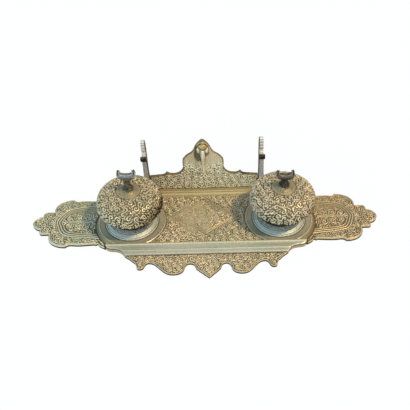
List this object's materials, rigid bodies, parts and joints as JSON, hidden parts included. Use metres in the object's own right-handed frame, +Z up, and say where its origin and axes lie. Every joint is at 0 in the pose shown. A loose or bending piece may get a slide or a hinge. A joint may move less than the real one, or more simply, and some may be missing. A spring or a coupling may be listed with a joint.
{
  "type": "double inkstand",
  "caption": "Lobed cast tray with lidded inkwells, an upright cusped gallery at the back and hooked pen rests.",
  "frame": {"origin": "on the table, under the middle of the tray's outline", "axes": "+Z up, +X along the tray to the right hand well, -Y to the front where the writer sits"},
  "size_m": [0.36, 0.1244, 0.0773],
  "materials": {
    "tray_brass": "cast, patinated, low relief scrollwork",
    "gallery_brass": "cast, patinated, low relief scrollwork",
    "well_brass": "turned smooth, dulled",
    "lid_brass": "cast, bold relief scrollwork, worn bright on top",
    "dark_brass": "dark patina, worn edges",
    "inner_brass": "turned, unpolished",
    "fastener_steel": "dull",
    "liner_glass": "clear, faintly green, pressed"
  },
  "bodies": {
    "stand": {"tray": "tray_brass", "gallery": "gallery_brass", "gallery_screw_1": "fastener_steel", "gallery_screw_2": "fastener_steel", "gallery_screw_3": "fastener_steel", "pen_rest_left": "dark_brass", "pen_rest_screw_left": "fastener_steel", "well_left": "well_brass", "well_bolt_left": "fastener_steel", "well_washer_left": "fastener_steel", "liner_left": "liner_glass", "pen_rest_right": "dark_brass", "pen_rest_screw_right": "fastener_steel", "well_right": "well_brass", "well_bolt_right": "fastener_steel", "well_washer_right": "fastener_steel", "liner_right": "liner_glass"},
    "lid_left": {"lid_dome_left": "lid_brass", "lid_seat_ring_left": "inner_brass", "finial_left": "dark_brass", "finial_washer_left": "inner_brass", "finial_nut_left": "inner_brass"},
    "lid_right": {"lid_dome_right": "lid_brass", "lid_seat_ring_right": "inner_brass", "finial_right": "dark_brass", "finial_washer_right": "inner_brass", "finial_nut_right": "inner_brass"}
  },
  "joints": [
    {"name": "lid_left_lift", "type": "slide", "parent": "stand", "child": "lid_left", "axis": [0, 0, 1], "range_m": [0, 0.04]},
    {"name": "lid_right_lift", "type": "slide", "parent": "stand", "child": "lid_right", "axis": [0, 0, 1], "range_m": [0, 0.04]}
  ]
}
